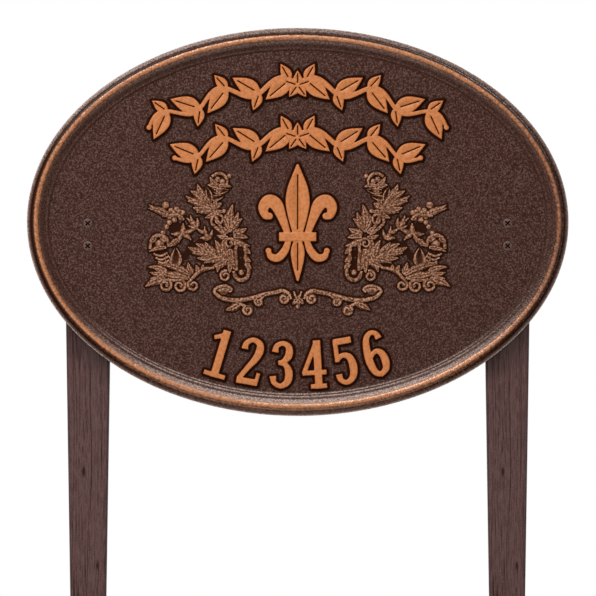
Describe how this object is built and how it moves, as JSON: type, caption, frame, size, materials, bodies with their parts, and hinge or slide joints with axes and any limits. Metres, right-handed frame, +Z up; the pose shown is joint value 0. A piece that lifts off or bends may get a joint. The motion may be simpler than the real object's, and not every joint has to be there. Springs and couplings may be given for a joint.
{
  "type": "lawn plaque",
  "caption": "Oval cast lawn plaque with a beaded rim, raised numerals and leafy scrollwork, screwed to tapered wood-grain stakes that are pushed into the ground.",
  "frame": {"origin": "on the lawn surface, midway between the stakes, in the plane of the panel's back", "axes": "+Z up along the stakes, +X to the right as seen from the front, +Y to the back; the relief faces -Y"},
  "size_m": [0.381, 0.0236, 0.6005],
  "materials": {
    "plaque_paint": "pebbled dark bronze paint with rubbed copper highlights on the rim and relief",
    "stake_paint": "satin dark bronze paint over a cast wood grain",
    "screw_paint": "satin dark bronze paint",
    "zinc_steel": "zinc plated"
  },
  "bodies": {
    "root": {"plaque_casting": "plaque_paint", "left_stake": "stake_paint", "left_upper_screw": "screw_paint", "left_upper_lock_washer": "zinc_steel", "left_upper_nut": "zinc_steel", "left_lower_screw": "screw_paint", "left_lower_lock_washer": "zinc_steel", "left_lower_nut": "zinc_steel", "right_stake": "stake_paint", "right_upper_screw": "screw_paint", "right_upper_lock_washer": "zinc_steel", "right_upper_nut": "zinc_steel", "right_lower_screw": "screw_paint", "right_lower_lock_washer": "zinc_steel", "right_lower_nut": "zinc_steel"}
  },
  "joints": []
}
